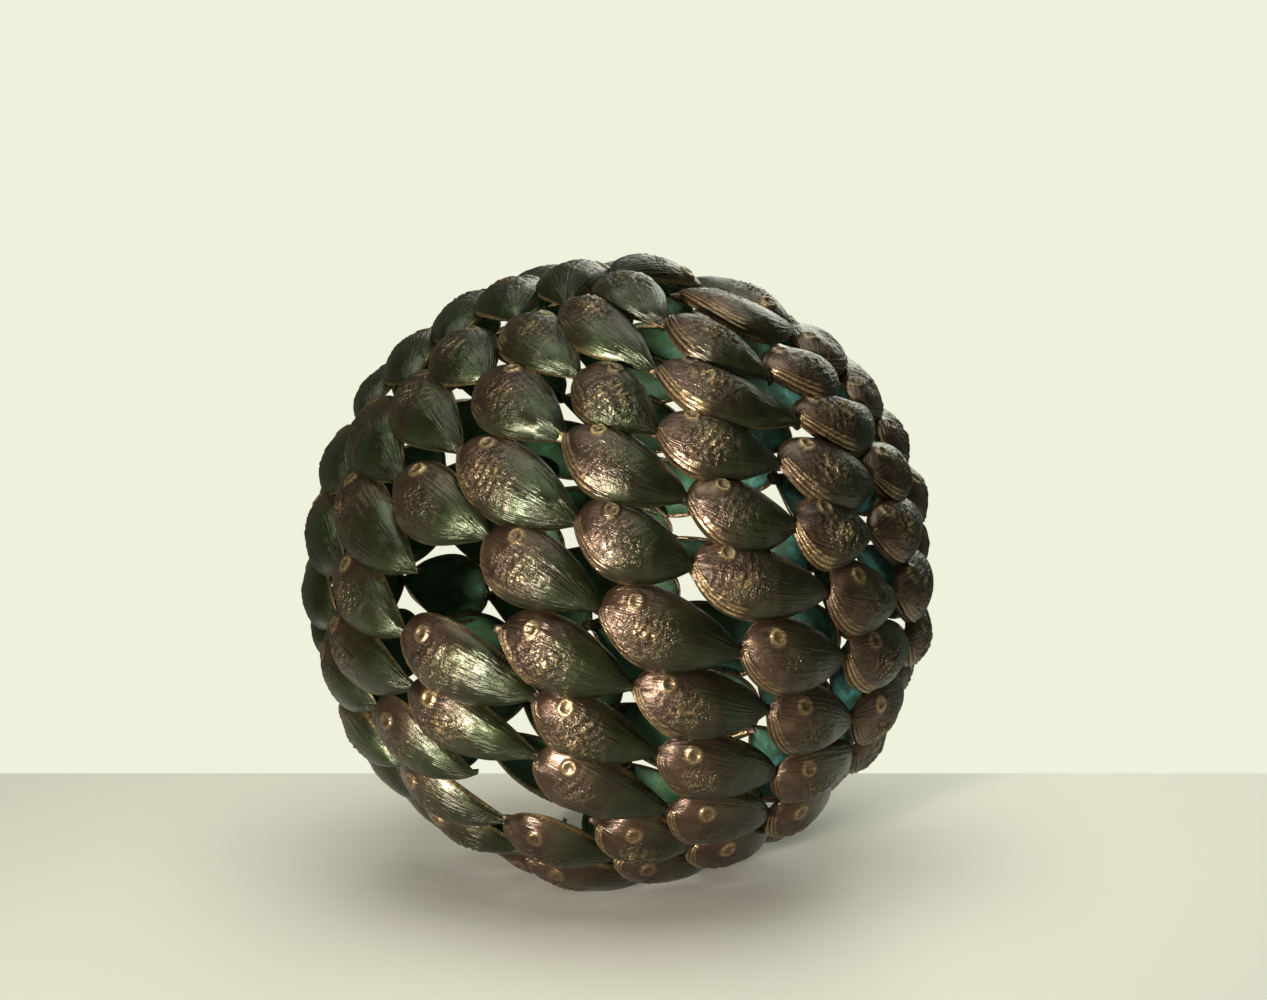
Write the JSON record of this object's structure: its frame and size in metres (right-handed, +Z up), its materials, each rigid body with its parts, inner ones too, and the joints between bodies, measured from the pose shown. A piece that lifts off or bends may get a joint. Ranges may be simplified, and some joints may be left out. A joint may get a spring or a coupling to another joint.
{
  "type": "openwork bronze desk ball",
  "caption": "Hollow openwork desk ball of domed, fish-shaped cast bronze shells brazed nose to tail in leaning rows, dark patina outside and green inside, standing on its lowest shells.",
  "frame": {"origin": "on the table, under the middle of the ball", "axes": "+Z up; -Y towards the viewer of the front; the shell rows run round an axis that leans to +X and a little to -Y"},
  "size_m": [0.2477, 0.2489, 0.2444],
  "materials": {
    "patinated_bronze": "dark brown patina under wax, rubbed bright on high points"
  },
  "bodies": {
    "root": {"shell_row_01_run_1": "patinated_bronze", "shell_row_02_run_1": "patinated_bronze", "shell_row_02_run_2": "patinated_bronze", "shell_row_03_run_1": "patinated_bronze", "shell_row_03_run_2": "patinated_bronze", "shell_row_03_run_3": "patinated_bronze", "shell_row_04_run_1": "patinated_bronze", "shell_row_04_run_2": "patinated_bronze", "shell_row_04_run_3": "patinated_bronze", "shell_row_04_run_4": "patinated_bronze", "shell_row_05_run_1": "patinated_bronze", "shell_row_05_run_2": "patinated_bronze", "shell_row_05_run_3": "patinated_bronze", "shell_row_05_run_4": "patinated_bronze", "shell_row_05_run_5": "patinated_bronze", "shell_row_06_run_1": "patinated_bronze", "shell_row_06_run_2": "patinated_bronze", "shell_row_06_run_3": "patinated_bronze", "shell_row_06_run_4": "patinated_bronze", "shell_row_06_run_5": "patinated_bronze", "shell_row_07_run_1": "patinated_bronze", "shell_row_07_run_2": "patinated_bronze", "shell_row_07_run_3": "patinated_bronze", "shell_row_07_run_4": "patinated_bronze", "shell_row_07_run_5": "patinated_bronze", "shell_row_08_run_1": "patinated_bronze", "shell_row_08_run_2": "patinated_bronze", "shell_row_08_run_3": "patinated_bronze", "shell_row_08_run_4": "patinated_bronze", "shell_row_08_run_5": "patinated_bronze", "shell_row_09_run_1": "patinated_bronze", "shell_row_09_run_2": "patinated_bronze", "shell_row_09_run_3": "patinated_bronze", "shell_row_09_run_4": "patinated_bronze", "shell_row_09_run_5": "patinated_bronze", "shell_row_10_run_1": "patinated_bronze", "shell_row_10_run_2": "patinated_bronze", "shell_row_10_run_3": "patinated_bronze", "shell_row_10_run_4": "patinated_bronze", "shell_row_10_run_5": "patinated_bronze", "shell_row_11_run_1": "patinated_bronze", "shell_row_11_run_2": "patinated_bronze", "shell_row_11_run_3": "patinated_bronze", "shell_row_11_run_4": "patinated_bronze", "shell_row_11_run_5": "patinated_bronze", "shell_row_12_run_1": "patinated_bronze", "shell_row_12_run_2": "patinated_bronze", "shell_row_12_run_3": "patinated_bronze", "shell_row_12_run_4": "patinated_bronze", "shell_row_13_run_1": "patinated_bronze", "shell_row_13_run_2": "patinated_bronze", "shell_row_13_run_3": "patinated_bronze", "shell_row_13_run_4": "patinated_bronze", "shell_row_14_run_1": "patinated_bronze", "shell_row_14_run_2": "patinated_bronze", "shell_row_15_run_1": "patinated_bronze"}
  },
  "joints": []
}
